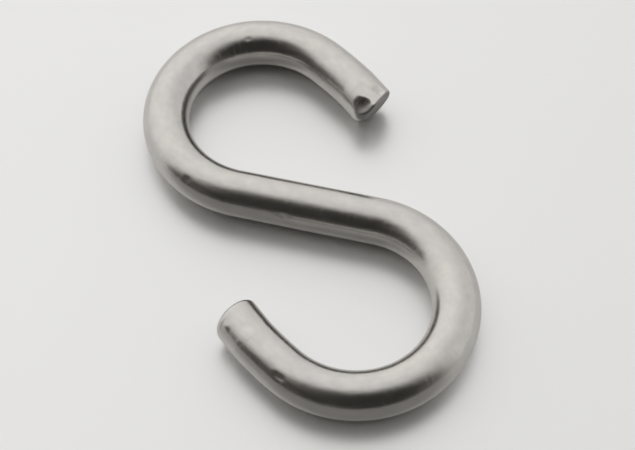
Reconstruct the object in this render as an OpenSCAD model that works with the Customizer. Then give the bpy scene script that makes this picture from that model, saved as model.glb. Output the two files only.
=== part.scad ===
// S hook in round bar: one length, cropped at both ends and bent cold into two open eyes.
// It lies flat. X runs across the hook, Y from eye to eye and Z up from the face it lies on.
// The origin is under the middle of the straight bar between the two eyes.

/* [Bar] */
// Diameter of the round bar
bar_d = 6; // [5:0.1:7]

/* [Bends] */
// Inside diameter of each eye
eye_d = 18.7; // [15:0.1:24]
// Angle that each eye is bent through
bend_angle = 210.4; // [195:0.1:220]
// Straight bar between the two bends
middle_len = 18.2; // [14:0.1:24]
// Radius of the slight curve that is left in each tail
tail_r = 55; // [40:1:120]

/* [Upper end] */
// Bar from the upper bend to the cut, along its centre line
upper_tail = 10; // [8:0.1:12]
// Lean of the upper cut, which leaves the top of the bar longest
upper_lean = 11; // [4:0.5:14]
// Slant of the upper cut, which leaves the side towards the eye longest
upper_slant = 12; // [4:0.5:14]

/* [Lower end] */
// Bar from the lower bend to the cut, along its centre line
lower_tail = 9.5; // [8:0.1:11]
// Lean of the lower cut, which leaves the top of the bar longest
lower_lean = 4; // [1:0.5:10]
// Slant of the lower cut, which leaves the side towards the eye longest
lower_slant = 1; // [0:0.5:10]

/* [Marks of the shear] */
// Width of the edge that the shear rolls over round the upper cut
upper_edge = 1.5; // [0.8:0.1:1.8]
// Side of the upper cut that is rolled most, turned from the top towards the eye
upper_most = 45; // [30:5:90]
// Width of the edge that the shear rolls over round the lower cut
lower_edge = 0.7; // [0.5:0.1:1.2]
// Side of the lower cut that is rolled most, turned from the top away from the eye
lower_most = 100; // [70:5:120]
// Length of each roll along the bar, as a multiple of its width
edge_stretch = 2.4; // [1:0.1:3]
// Shift of each roll across the bar, as a share of its width. It keeps the far side of the cut sharper.
edge_shift = 0.35; // [0.1:0.01:0.4]
// Length of the flat that the blade presses on the upper end
flat_len = 3; // [2:0.1:4]
// Slope of that flat along the bar
flat_slope = 7; // [4:0.5:9]
// Turn of that flat round the bar, from the top towards the eye
flat_turn = 12; // [0:1:30]
// Depth of the nick that the blade's corner leaves beside the flat
nick_depth = 0.15; // [0.1:0.01:0.2]
// Radius of that nick
nick_r = 3; // [2:0.1:4]

/* [Hidden] */
$fn = 96;
bar_r = bar_d / 2;
bend_r = eye_d / 2 + bar_r;
// Turn that brings the line from eye to eye onto Y
lay = atan2(bend_r, middle_len / 2);
// Angle about the upper eye at which the bend ends and the tail starts
tail_start = 180 - bend_angle;
// Gap and margin that keep the flank of the cut former off the bar
flank_gap = 0.02;
flank_margin = 5;
// Bands that make up the rolled edge
edge_steps = 10;
// Nick beside the flat: its place along the bar, back from the cut, and its turn round the bar
nick_back = 1;
nick_turn = 44;

// A number rounded to six digits
function six(x) = x == 0 ? 0 : let (steps = pow(10, 5 - floor(log(abs(x))))) round(x * steps) / steps;

// Moves its children in X and Y. The inner move takes up what six digits leave of the outer one, so that
// a tail's face lies exactly on the face of its bend.
module exact_move(x, y) {
    translate([six(x), six(y), 0]) translate([x - six(x), y - six(y), 0]) children();
}

// Turn along a tail over a distance on its centre line
function turn_along(distance) = distance / tail_r * 180 / PI;

// Angle between a cut face and a square one
function cut_angle(lean, slant) = acos(cos(lean) * cos(slant));

// Blank with a flat face and a rolled rim. A bar trimmed by it has a slanted cut with a rounded edge.
// The rim is part of an ellipse, which ends where it runs along the flank.
module cut_former(angle, edge, length) {
    flank = angle + flank_margin;
    roll = atan2(cos(flank), edge_stretch * sin(flank));
    face_r = bar_r / cos(angle) + edge_shift * edge + flank_gap - edge * sin(roll);
    rim = [for (i = [0 : edge_steps])
        [face_r + edge * sin(roll * i / edge_steps), edge_stretch * edge * (cos(roll * i / edge_steps) - 1)]];
    flank_end = rim[edge_steps] + length * [sin(flank), -cos(flank)];
    rotate_extrude() polygon(concat([[0, 0]], rim, [flank_end, [0, flank_end[1]]]));
}

// Places its children on the upper tail at a distance past the bend. There Z runs out along the bar,
// X away from the eye and Y up.
module on_tail(distance) {
    tail_centre() rotate([0, 0, tail_start - turn_along(distance)]) translate([tail_r, 0, 0])
        rotate([90, 0, 0]) children();
}

// Moves its children to the centre that the upper tail curves about
module tail_centre() {
    exact_move(
        bend_r - (tail_r - bend_r) * cos(tail_start),
        middle_len / 2 - (tail_r - bend_r) * sin(tail_start)
    ) children();
}

// Tail, cut from a longer blank by the cut former, which is shifted away from the side rolled most
module tail(length, lean, slant, edge, most) {
    blank = ceil(turn_along(length + bar_r));
    intersection() {
        tail_centre() rotate_extrude(angle = blank, start = tail_start - blank)
            translate([tail_r, 0]) circle(bar_r);
        on_tail(length) rotate([lean, slant, 0]) rotate([0, 0, most])
            translate([0, -edge_shift * edge, 0]) cut_former(cut_angle(lean, slant), edge, 2 * length);
    }
}

// Half of the hook with its middle along Y: half of the straight bar, one bend and its tail
module half_hook(tail_len, lean, slant, edge, most) {
    rotate([-90, 0, 0]) cylinder(h = middle_len / 2, r = bar_r);
    translate([bend_r, middle_len / 2, 0])
        rotate_extrude(angle = bend_angle, start = tail_start) translate([bend_r, 0]) circle(bar_r);
    tail(tail_len, lean, slant, edge, most);
}

// Flat and nick that the shear leaves on the upper end
module blade_marks() {
    on_tail(upper_tail - flat_len) rotate([0, 0, flat_turn]) translate([-bar_r, bar_r, 0])
        rotate([flat_slope, 0, 0]) cube([bar_d, bar_r, flat_len + bar_d]);
    on_tail(upper_tail - nick_back) rotate([0, 0, nick_turn])
        translate([0, bar_r - nick_depth + nick_r, 0]) sphere(nick_r);
}

module hook() {
    color("silver") translate([0, 0, bar_r]) rotate([0, 0, lay]) difference() {
        union() {
            half_hook(upper_tail, upper_lean, upper_slant, upper_edge, upper_most);
            rotate([0, 0, 180]) half_hook(lower_tail, lower_lean, lower_slant, lower_edge, -lower_most);
        }
        blade_marks();
    }
}

hook();
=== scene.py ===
import math
import bpy
import numpy as np
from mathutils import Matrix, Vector


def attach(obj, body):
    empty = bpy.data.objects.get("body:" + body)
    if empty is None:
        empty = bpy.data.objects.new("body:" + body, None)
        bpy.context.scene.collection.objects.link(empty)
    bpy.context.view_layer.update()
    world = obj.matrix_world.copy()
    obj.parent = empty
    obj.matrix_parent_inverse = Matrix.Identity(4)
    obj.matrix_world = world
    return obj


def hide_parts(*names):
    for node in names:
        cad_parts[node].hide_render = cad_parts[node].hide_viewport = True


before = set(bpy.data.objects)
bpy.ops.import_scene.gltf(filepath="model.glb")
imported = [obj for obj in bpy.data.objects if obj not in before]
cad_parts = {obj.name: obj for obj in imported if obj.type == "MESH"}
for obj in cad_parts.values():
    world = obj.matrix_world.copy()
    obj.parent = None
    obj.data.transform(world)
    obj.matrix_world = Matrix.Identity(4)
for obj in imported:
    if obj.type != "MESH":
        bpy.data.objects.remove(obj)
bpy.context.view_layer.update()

# ---- The bent bar ----
# One length of round stainless bar, bent cold round a pin into two equal open eyes that lie in one plane.
# It is laid out with the straight middle along Y. Each tail keeps a slight curve past its bend.
bar_r = 0.003
bend_r = 0.01235
bend_turn = math.radians(210.4)
middle_length = 0.0182
# Radius of a tail's slight curve
tail_bow = 0.055
# Points round the bar, and the length from one ring of them to the next
around_bar = 96
step_length = 0.0003
# The last stretch before a cut stays free of rings, so that its edge can be rolled
plain_stretch = 0.004

# The upper eye is bent round this pin, and its tail curves about a point beyond the pin
pin = Vector((bend_r, middle_length / 2, bar_r))
tail_start = math.pi - bend_turn
tail_pin = pin - (tail_bow - bend_r) * Vector((math.cos(tail_start), math.sin(tail_start), 0))
up = Vector((0, 0, 1))


def on_tail(distance):
    """Point on a tail's centre line, the way out along the bar there, and the way away from the eye."""
    angle = tail_start - distance / tail_bow
    away = Vector((math.cos(angle), math.sin(angle), 0))
    out = Vector((math.sin(angle), -math.cos(angle), 0))
    return tail_pin + tail_bow * away, out, away


def bend_half(name, tail_length):
    """Half of the bar, from its middle to past the cut, in edit mode with its last ring selected."""
    bpy.ops.object.select_all(action="DESELECT")
    bpy.ops.mesh.primitive_circle_add(
        vertices=around_bar, radius=bar_r, location=(0, 0, bar_r), rotation=(math.pi / 2, 0, 0))
    half = bpy.context.object
    half.name = name
    bpy.ops.object.transform_apply(location=True, rotation=True)
    bpy.ops.object.mode_set(mode="EDIT")
    bpy.ops.mesh.select_mode(type="EDGE")
    bpy.ops.mesh.select_all(action="SELECT")
    steps = round(middle_length / 2 / step_length)
    for _ in range(steps):
        bpy.ops.mesh.extrude_region_move(
            TRANSFORM_OT_translate={"value": (0, middle_length / 2 / steps, 0)})
    bpy.ops.mesh.spin(
        steps=round(bend_turn * bend_r / step_length), angle=bend_turn, center=pin, axis=up)
    ringed = tail_length - plain_stretch
    bpy.ops.mesh.spin(
        steps=round(ringed / step_length), angle=ringed / tail_bow, center=tail_pin, axis=up)
    _, out, _ = on_tail(tail_length)
    bpy.ops.mesh.extrude_region_move(TRANSFORM_OT_translate={"value": 2 * plain_stretch * out})
    return half


# ---- The cropped ends ----
# Shears crop the bar at a slant before it is bent. The blade rolls the edge over on the side where it goes
# in and leaves it sharper where the cut breaks out. The cut face is left dull and slightly crowned, and is
# coloured darker there, partly for the duller torn steel and partly as painted shade.
roll_bands = 12
face_rings = 5
face_ring_width = 0.0003
# Rise of the crown from one ring of the face to the next
face_crown = 0.00002
stretch_rings = 24
# All that lies within this of the middle of a cut belongs to that end
end_reach = 2 * bar_r
# The torn and darker part starts this far behind the cut, and is full after the fade. Its darker colour is
# partly the duller torn steel and partly painted shade.
torn_and_shade_start = 0.00035
torn_and_shade_fade = 0.00015


def unpick(kind):
    """Leaves nothing of one kind picked. In object mode, the next ones are then picked by their place."""
    bpy.ops.object.mode_set(mode="EDIT")
    bpy.ops.mesh.select_mode(type=kind)
    bpy.ops.mesh.select_all(action="DESELECT")
    bpy.ops.object.mode_set(mode="OBJECT")


def crop(half, tail_length, lean, slant, roll, most, least, sharpness):
    """Crops a half. A lean leaves the top of the bar longest, and a slant the side towards the eye.

    The roll is widest on the side at an angle, called most, from the top towards the eye. On the far side
    it has its least share of that width.
    """
    centre, out, away = on_tail(tail_length)
    lean, slant, most = math.radians(lean), math.radians(slant), math.radians(most)
    cut_way = (math.cos(lean) * math.sin(slant) * away - math.sin(lean) * up
               + math.cos(lean) * math.cos(slant) * out)
    mesh = half.data
    unpick("FACE")
    for face in mesh.polygons:
        from_centre = face.center - centre
        face.select = from_centre.length < end_reach and from_centre.dot(out) > -bar_r / 2
    bpy.ops.object.mode_set(mode="EDIT")
    bpy.ops.mesh.bisect(plane_co=centre, plane_no=cut_way, use_fill=True, clear_outer=True)
    bpy.ops.object.mode_set(mode="OBJECT")

    # The cut face is the one with more than four corners. An edge of it is rolled less the further it lies
    # round the bar from the side rolled most.
    cut_edges = {key for face in mesh.polygons if len(face.vertices) > 4 for key in face.edge_keys}
    weights = mesh.attributes.new("bevel_weight_edge", "FLOAT", "EDGE")
    for edge in mesh.edges:
        if edge.key in cut_edges:
            first, last = (mesh.vertices[index].co for index in edge.vertices)
            spot = (first + last) / 2 - centre
            turn = math.atan2(-spot.dot(away), spot.dot(up)) - most
            weights.data[edge.index].value = least + (1 - least) * ((1 + math.cos(turn)) / 2) ** sharpness
    rolled = half.modifiers.new("roll", "BEVEL")
    rolled.limit_method = "WEIGHT"
    rolled.width = roll
    rolled.segments = roll_bands
    rolled.use_clamp_overlap = False
    bpy.ops.object.modifier_apply(modifier="roll")

    unpick("FACE")
    for face in mesh.polygons:
        face.select = len(face.vertices) > 4
    bpy.ops.object.mode_set(mode="EDIT")
    for _ in range(face_rings):
        bpy.ops.mesh.inset(thickness=face_ring_width, depth=face_crown)
    bpy.ops.mesh.poke()

    # The plain stretch is where lines along the bar are longer than one step. It gets its rings now that
    # the roll has taken its room.
    unpick("EDGE")
    for edge in mesh.edges:
        first, last = (mesh.vertices[index].co for index in edge.vertices)
        run = abs((last - first).dot(out))
        in_line = run > 0.9 * (last - first).length
        near = ((first + last) / 2 - centre).length < end_reach
        edge.select = run > 1.5 * step_length and in_line and near
    bpy.ops.object.mode_set(mode="EDIT")
    bpy.ops.mesh.subdivide(number_cuts=stretch_rings)
    bpy.ops.object.mode_set(mode="OBJECT")
    return centre, cut_way


def on_bar(distance):
    """Point at a distance from the middle of the whole bar, the way out there and the way off the eye."""
    turned = (distance - middle_length / 2) / bend_r
    if turned < 0:
        return Vector((0, distance, bar_r)), Vector((0, 1, 0)), Vector((-1, 0, 0))
    if turned < bend_turn:
        away = Vector((-math.cos(turned), math.sin(turned), 0))
        return pin + bend_r * away, Vector((math.sin(turned), math.cos(turned), 0)), away
    return on_tail(distance - middle_length / 2 - bend_r * bend_turn)


def on_skin(distance, turn):
    """Spot on the bar at a turn from its top towards the eye, and the way out of the bar there."""
    point, _, away = on_bar(distance)
    side = math.cos(math.radians(turn)) * up - math.sin(math.radians(turn)) * away
    return point + bar_r * side, side


def press(half, distance, turn, depth, reach):
    """Presses the bar in at a spot. The push dies away over its reach."""
    spot, side = on_skin(distance, turn)
    mesh = half.data
    nearest = min(mesh.vertices, key=lambda vertex: (vertex.co - spot).length_squared).index
    unpick("VERT")
    mesh.vertices[nearest].select = True
    bpy.ops.object.mode_set(mode="EDIT")
    bpy.ops.transform.translate(value=-depth * side, use_proportional_edit=True,
                                proportional_edit_falloff="SMOOTH", proportional_size=reach)
    bpy.ops.object.mode_set(mode="OBJECT")


def press_flat(half, distance, slope, turn):
    """Presses a flat from a distance along the tail to its end. It slopes down towards the end."""
    start, out, away = on_tail(distance)
    slope, turn = math.radians(slope), math.radians(turn)
    side = math.cos(turn) * up - math.sin(turn) * away
    flat_way = math.cos(slope) * side + math.sin(slope) * out
    across = flat_way.cross(out).normalized()
    seat = start + bar_r * side
    mesh = half.data
    unpick("VERT")
    for vertex in mesh.vertices:
        from_seat = vertex.co - seat
        past_seat = from_seat.dot(out) > 0 and from_seat.length < end_reach
        vertex.select = past_seat and from_seat.dot(flat_way) > 0
    bpy.ops.object.mode_set(mode="EDIT")
    bpy.ops.transform.resize(value=(1, 1, 0), center_override=seat, orient_type="GLOBAL",
                             orient_matrix=(across, flat_way.cross(across), flat_way),
                             orient_matrix_type="GLOBAL")
    bpy.ops.object.mode_set(mode="OBJECT")


# Bounds that tell points of the straight middle and of the tail from points of the bend
straight_reach = 1.1 * bar_r
tail_turn_most = 0.5


def crop_and_keep(half, side, tail_length, **cut):
    """Crops a half, and keeps on it where its points lay on the straight bar and where it is torn and
    coloured darker, partly as painted shade.
    """
    centre, cut_way = crop(half, tail_length, **cut)
    spots = np.empty(3 * len(half.data.vertices))
    half.data.vertices.foreach_get("co", spots)
    x, y, z = spots.reshape(-1, 3).T
    round_pin = (math.pi - np.arctan2(y - pin.y, x - pin.x)) % (2 * math.pi)
    round_tail = tail_start - np.arctan2(y - tail_pin.y, x - tail_pin.x)
    straight = (y < pin.y) & (np.abs(x) < straight_reach)
    in_tail = ~straight & (round_tail > 0) & (round_tail < tail_turn_most) & (y < pin.y)
    inward = np.where(straight, x, bend_r - np.hypot(x - pin.x, y - pin.y))
    inward = np.where(in_tail, tail_bow - np.hypot(x - tail_pin.x, y - tail_pin.y), inward)
    along = np.where(straight, y, pin.y + bend_r * round_pin)
    along = np.where(in_tail, pin.y + bend_r * bend_turn + tail_bow * round_tail, along)
    drawn = half.data.attributes.new("drawn", "FLOAT_VECTOR", "POINT")
    drawn.data.foreach_set("vector", np.stack([side * inward, side * along, z - bar_r], 1).ravel())
    from_cut = np.stack([x, y, z], 1) - np.array(centre)
    torn_and_shade = np.clip((torn_and_shade_start + from_cut @ np.array(cut_way)) / torn_and_shade_fade, 0, 1)
    torn_and_shade[np.linalg.norm(from_cut, axis=1) > end_reach] = 0
    half.data.attributes.new("torn_and_shade", "FLOAT", "POINT").data.foreach_set("value", torn_and_shade)


def tear_and_shade(half, distance, turn, reach):
    """Leaves the surface torn and coloured darker round a spot, the darker colour partly painted shade.
    This fades out over the last third of its reach.
    """
    spot, _ = on_skin(distance, turn)
    torn_and_shade = half.data.attributes["torn_and_shade"].data
    for vertex, value in zip(half.data.vertices, torn_and_shade):
        value.value = max(value.value, min(1, 3 - 3 * (vertex.co - spot).length / reach))


upper_tail, lower_tail = 0.01, 0.0095
flat_length = 0.003
# Small dings from handling: distance from the middle, turn from the top towards the eye, depth and reach.
# The one with a depth below zero stands proud.
upper_dings = (
    (0.0023, -66, 0.00008, 0.0007), (0.0145, -46, 0.00008, 0.0007), (0.0193, -50, 0.00003, 0.0006),
    (0.0204, -50, 0.00003, 0.0006), (0.043, 28, 0.00006, 0.0005), (0.0637, -12, 0.00024, 0.0008),
    (0.0643, -14, 0.0003, 0.0008))
lower_dings = (
    (0.0531, -42, 0.00013, 0.0006), (0.0538, -43, 0.00011, 0.0006), (0.0315, -60, 0.00003, 0.0007),
    (0.0605, -11, 0.00004, 0.001), (0.0624, -44, -0.00005, 0.0008))

# The lower half is bent like the upper one, and then turned round to meet it in the middle
lower = bend_half("lower_half", lower_tail)
crop_and_keep(
    lower, -1, lower_tail, lean=4, slant=1, roll=0.001, most=-100, least=0.45, sharpness=1)
for ding in lower_dings:
    press(lower, *ding)
bpy.ops.transform.rotate(value=math.pi, orient_axis="Z", center_override=(0, 0, 0))
bpy.ops.object.transform_apply(location=True, rotation=True)

bar = bend_half("hook_bar", upper_tail)
crop_and_keep(
    bar, 1, upper_tail, lean=15, slant=12, roll=0.0013, most=110, least=0.4, sharpness=4)
# The blade's corner leaves a nick, which is torn beside the cut and coloured darker there, partly as
# painted shade, and the blade itself leaves a flat
press(bar, distance=0.0647, turn=38, depth=0.0007, reach=0.002)
tear_and_shade(bar, distance=0.0652, turn=60, reach=0.0018)
press_flat(bar, upper_tail - flat_length, slope=7, turn=12)
for ding in upper_dings:
    press(bar, *ding)

lower.select_set(True)
bpy.ops.object.join()
bpy.ops.object.mode_set(mode="EDIT")
bpy.ops.mesh.select_all(action="SELECT")
bpy.ops.mesh.remove_doubles(threshold=0.00001)
bpy.ops.mesh.normals_make_consistent(inside=False)
bpy.ops.object.mode_set(mode="OBJECT")


# ---- The hook lying flat, with its eyes along Y ----
# The hook lies on one face. Its finish is satin drawn stainless steel: fine lines run along the bar, and
# handling has left it with a slightly uneven gloss and a few scratches across.
lay = math.atan2(bend_r, middle_length / 2)
bar.rotation_euler = (0, 0, lay)
bpy.ops.object.transform_apply(location=True, rotation=True)
bpy.ops.object.shade_smooth()

steel = bpy.data.materials.new("satin_stainless")
steel.use_nodes = True
nodes, links = steel.node_tree.nodes, steel.node_tree.links
shader = nodes["Principled BSDF"]
shader.inputs["Metallic"].default_value = 1.0
shader.inputs["Specular Tint"].default_value = (0.82, 0.81, 0.8, 1)
place = nodes.new("ShaderNodeAttribute")
place.attribute_name = "drawn"


def noise(scale, stretch):
    """Noise laid on the straight bar. Its scale is per metre, and its grain longer along by the stretch."""
    mapping = nodes.new("ShaderNodeMapping")
    mapping.inputs["Scale"].default_value = (scale, scale / stretch, scale)
    texture = nodes.new("ShaderNodeTexNoise")
    texture.inputs["Scale"].default_value = 1.0
    texture.inputs["Detail"].default_value = 3.0
    links.new(place.outputs["Vector"], mapping.inputs["Vector"])
    links.new(mapping.outputs["Vector"], texture.inputs["Vector"])
    return texture.outputs["Fac"]


def spread(factor, low, high, start=0.3, end=0.7):
    """Spreads the middle of a noise between two values."""
    ranged = nodes.new("ShaderNodeMapRange")
    ranged.inputs["From Min"].default_value = start
    ranged.inputs["From Max"].default_value = end
    ranged.inputs["To Min"].default_value = low
    ranged.inputs["To Max"].default_value = high
    links.new(factor, ranged.inputs["Value"])
    return ranged.outputs["Result"]


# The steel's own tone varies a little in soft clouds
tone = nodes.new("ShaderNodeMix")
tone.data_type = "RGBA"
tone.inputs["A"].default_value = (0.57, 0.555, 0.54, 1)
tone.inputs["B"].default_value = (0.63, 0.605, 0.575, 1)
links.new(spread(noise(900, 1.5), 0, 1), tone.inputs["Factor"])

# Darker colour where the steel is torn: partly the duller torn steel, partly painted shade on the cut face
# and round the nick
torn_and_shade_colour = (0.3, 0.29, 0.28, 1)
torn_roughness = 0.45
tearing_and_shade = nodes.new("ShaderNodeAttribute")
tearing_and_shade.attribute_name = "torn_and_shade"


def where_torn_and_shaded(usual, torn_and_shade):
    """Goes from the usual value to another one where the shear tore the steel. For the colour, that darker
    value is partly painted shade.
    """
    mix = nodes.new("ShaderNodeMix")
    mix.data_type = "RGBA" if isinstance(torn_and_shade, tuple) else "FLOAT"
    mix.inputs["B"].default_value = torn_and_shade
    links.new(usual, mix.inputs["A"])
    links.new(tearing_and_shade.outputs["Fac"], mix.inputs["Factor"])
    return mix.outputs["Result"]


gloss = spread(noise(700, 6), 0.16, 0.24)
links.new(where_torn_and_shaded(tone.outputs["Result"], torn_and_shade_colour), shader.inputs["Base Color"])
links.new(where_torn_and_shaded(gloss, torn_roughness), shader.inputs["Roughness"])


def relief(height, depth, below=None):
    """Raises the surface by a noise, on top of the relief below it."""
    bump = nodes.new("ShaderNodeBump")
    bump.inputs["Distance"].default_value = depth
    links.new(height, bump.inputs["Height"])
    if below:
        links.new(below, bump.inputs["Normal"])
    return bump.outputs["Normal"]


waves = relief(noise(1000, 2), 0.00002)
drawn_lines = relief(noise(9000, 30), 0.000006, waves)
scratches = relief(spread(noise(350, 1 / 25), 0, 1, 0.66, 0.7), 0.000005, drawn_lines)
links.new(scratches, shader.inputs["Normal"])
bar.data.materials.append(steel)

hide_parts("hook")
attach(bar, "root")

# ---- The floor, the light and the camera ----
# A plain pale floor under a soft studio light, which is bright all round but for the dark side of the
# room behind the camera. The camera looks down on the hook from that side.
bpy.ops.object.select_all(action="DESELECT")
bpy.ops.mesh.primitive_plane_add(size=6)
floor = bpy.context.object
floor.name = "floor"
paper = bpy.data.materials.new("pale_paper")
paper.use_nodes = True
sheen = paper.node_tree.nodes["Principled BSDF"]
sheen.inputs["Base Color"].default_value = (0.95, 0.95, 0.95, 1)
sheen.inputs["Metallic"].default_value = 0.6
sheen.inputs["Roughness"].default_value = 0.36
floor.data.materials.append(paper)

world = bpy.data.worlds.new("studio")
bpy.context.scene.world = world
world.use_nodes = True
sky, sky_links = world.node_tree.nodes, world.node_tree.links
way = sky.new("ShaderNodeTexCoord")


def gradient(azimuth, height, start, end, first, last):
    """Goes from the first value to the last as a direction leans from start to end towards another one."""
    azimuth, height = math.radians(azimuth), math.radians(height)
    lean = sky.new("ShaderNodeVectorMath")
    lean.operation = "DOT_PRODUCT"
    lean.inputs[1].default_value = (math.cos(height) * math.cos(azimuth),
                                    math.cos(height) * math.sin(azimuth), math.sin(height))
    ranged = sky.new("ShaderNodeMapRange")
    ranged.interpolation_type = "SMOOTHSTEP"
    ranged.inputs["From Min"].default_value = start
    ranged.inputs["From Max"].default_value = end
    ranged.inputs["To Min"].default_value = first
    ranged.inputs["To Max"].default_value = last
    sky_links.new(way.outputs["Generated"], lean.inputs[0])
    sky_links.new(lean.outputs["Value"], ranged.inputs["Value"])
    return ranged.outputs["Result"]


def product(first, second):
    """Dims one gradient by another."""
    result = sky.new("ShaderNodeMath")
    result.operation = "MULTIPLY"
    sky_links.new(first, result.inputs[0])
    sky_links.new(second, result.inputs[1])
    return result.outputs[0]


# The end of the room behind the camera is dim. It is darkest in a patch some way up, and a smaller dark
# patch lies low down at one side of it. The light grows a little towards the far side.
room_end = gradient(-117, -5, start=0.0, end=0.42, first=1.0, last=0.3)
upper_patch = gradient(-102, 33, start=0.45, end=0.92, first=1.0, last=0.16)
side_patch = gradient(-165, 8, start=0.83, end=0.92, first=1.0, last=0.38)
far_side = gradient(99, 37, start=0.34, end=1.35, first=0.78, last=1.19)
dark_side = product(product(room_end, upper_patch), side_patch)
sky_links.new(product(dark_side, far_side), sky["Background"].inputs["Strength"])
# The light from the dim end is a little warmer
colour = sky.new("ShaderNodeMix")
colour.data_type = "RGBA"
colour.inputs["A"].default_value = (1.0, 0.92, 0.84, 1)
colour.inputs["B"].default_value = (1.0, 0.995, 0.98, 1)
sky_links.new(room_end, colour.inputs["Factor"])
sky_links.new(colour.outputs["Result"], sky["Background"].inputs["Color"])

target = Vector((0.000285, -0.002996, 0.003))
camera_azimuth = math.radians(-113.0)
camera_height = math.radians(57.44)
camera_distance = 0.20691
toward = Vector((math.cos(camera_height) * math.cos(camera_azimuth),
                 math.cos(camera_height) * math.sin(camera_azimuth), math.sin(camera_height)))
bpy.ops.object.camera_add(location=target + camera_distance * toward,
                          rotation=toward.to_track_quat("Z", "Y").to_euler())
camera = bpy.context.object
camera.data.sensor_width = 36
camera.data.lens = 93.6
camera.data.clip_start = 0.01
bpy.context.scene.camera = camera
bpy.context.scene.view_settings.view_transform = "Standard"
